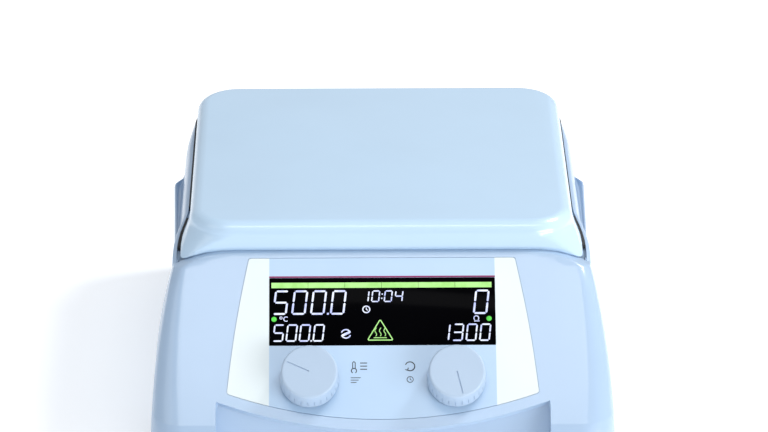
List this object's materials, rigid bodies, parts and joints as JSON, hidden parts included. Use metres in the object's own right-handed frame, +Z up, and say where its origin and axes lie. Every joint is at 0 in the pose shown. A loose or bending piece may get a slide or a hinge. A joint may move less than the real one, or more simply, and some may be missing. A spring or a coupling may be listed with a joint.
{
  "type": "hotplate magnetic stirrer",
  "caption": "Laboratory hotplate stirrer with a square white plate, sloped control console, lit digital display, push-and-turn knobs and a magnet drive inside.",
  "frame": {"origin": "middle of the object's bounding box, on the surface that the feet stand on", "axes": "+Z up, +Y towards the rear panel, controls face -Y, +X to the right seen from the front"},
  "size_m": [0.226, 0.28, 0.11],
  "materials": {
    "cover_glaze": "glossy white heat-proof glaze",
    "black_gasket": "matte black silicone",
    "heater_foil": "etched resistance foil on mica",
    "sheet_steel": "zinc-plated sheet steel",
    "insulation": "compressed ceramic fibre",
    "white_ceramic": "unglazed steatite",
    "bright_steel": "bright nickel-plated steel",
    "lead_sleeve": "braided glass-fibre sleeve",
    "housing_paint": "smooth cool grey satin paint",
    "pan_plastic": "dark moulded tray with fine grain",
    "foot_rubber": "matte black rubber",
    "overlay_film": "printed polyester film, satin",
    "display_glass": "black display window with lit digits",
    "circuit_board": "green solder mask",
    "dark_plastic": "black moulded thermoplastic",
    "pale_plastic": "natural acetal",
    "knob_plastic": "soft light grey moulding",
    "cast_alloy": "die-cast alloy",
    "core_steel": "stacked laminations",
    "copper_winding": "enamelled copper wire",
    "magnet_plating": "nickel-plated magnet",
    "capacitor_sleeve": "shrunk plastic sleeve",
    "brass_contact": "machined brass",
    "fuse_glass": "clear tube with plated caps",
    "rocker_plastic": "black rocker",
    "ribbon_sleeve": "grey ribbon cable"
  },
  "bodies": {
    "chassis": {"top_cover": "cover_glaze", "cover_gasket": "black_gasket", "heater_element": "heater_foil", "heater_clamp_plate": "sheet_steel", "insulation_pad": "insulation", "heat_shield": "sheet_steel", "plate_standoffs": "white_ceramic", "plate_sensor": "bright_steel", "heater_leads": "lead_sleeve", "main_housing": "housing_paint", "side_grip_left": "housing_paint", "side_grip_right": "housing_paint", "console_housing": "housing_paint", "base_pan": "pan_plastic", "rubber_feet": "foot_rubber", "base_screws": "bright_steel", "deck_plate": "sheet_steel", "deck_posts": "bright_steel", "panel_overlay": "overlay_film", "display_lens": "display_glass", "lcd_module": "sheet_steel", "control_board": "circuit_board", "temp_encoder_body": "dark_plastic", "speed_encoder_body": "dark_plastic", "motor_can": "sheet_steel", "motor_end_cap": "cast_alloy", "stator_core": "core_steel", "stator_coils": "copper_winding", "motor_bearings": "bright_steel", "motor_bracket": "sheet_steel", "motor_grommets": "foot_rubber", "motor_screws": "bright_steel", "power_board": "circuit_board", "transformer": "core_steel", "heatsink": "cast_alloy", "board_capacitors": "capacitor_sleeve", "rear_panel": "housing_paint", "rear_panel_screws": "bright_steel", "mains_inlet": "dark_plastic", "inlet_pins": "brass_contact", "switch_frame": "dark_plastic", "probe_socket": "bright_steel", "data_port": "bright_steel", "rod_socket": "brass_contact", "ribbon_cable": "ribbon_sleeve"},
    "temp_push": {"temp_encoder_plunger": "pale_plastic"},
    "temp_turn": {"temp_encoder_shaft": "bright_steel", "temp_knob": "knob_plastic"},
    "speed_push": {"speed_encoder_plunger": "pale_plastic"},
    "speed_turn": {"speed_encoder_shaft": "bright_steel", "speed_knob": "knob_plastic"},
    "rotor": {"motor_shaft": "bright_steel", "rotor_core": "core_steel", "cooling_fan": "dark_plastic", "magnet_carrier": "dark_plastic", "drive_magnets": "magnet_plating"},
    "rocker": {"power_rocker": "rocker_plastic"},
    "drawer": {"fuse_drawer": "dark_plastic", "glass_fuse": "fuse_glass"}
  },
  "joints": [
    {"name": "temp_knob_push", "type": "slide", "parent": "chassis", "child": "temp_push", "axis": [0, 0.7071, -0.7071], "range_m": [0, 0.0007], "stiffness_N_per_m": 3000, "springref_m": -0.0003},
    {"name": "temp_knob_turn", "type": "hinge", "parent": "temp_push", "child": "temp_turn", "pos_m": [-0.0356, -0.11738, 0.04862], "axis": [0, -0.7071, 0.7071], "continuous": true},
    {"name": "speed_knob_push", "type": "slide", "parent": "chassis", "child": "speed_push", "axis": [0, 0.7071, -0.7071], "range_m": [0, 0.0007], "stiffness_N_per_m": 3000, "springref_m": -0.0003},
    {"name": "speed_knob_turn", "type": "hinge", "parent": "speed_push", "child": "speed_turn", "pos_m": [0.0356, -0.11738, 0.04862], "axis": [0, -0.7071, 0.7071], "continuous": true},
    {"name": "stirrer_spin", "type": "hinge", "parent": "chassis", "child": "rotor", "pos_m": [0, 0.027, 0.04], "axis": [0, 0, 1], "continuous": true},
    {"name": "power_rock", "type": "hinge", "parent": "chassis", "child": "rocker", "pos_m": [0.02, 0.131, 0.046], "axis": [1, 0, 0], "range_deg": [-16, 0]},
    {"name": "fuse_drawer_slide", "type": "slide", "parent": "chassis", "child": "drawer", "axis": [0, 1, 0], "range_m": [0, 0.016]}
  ]
}
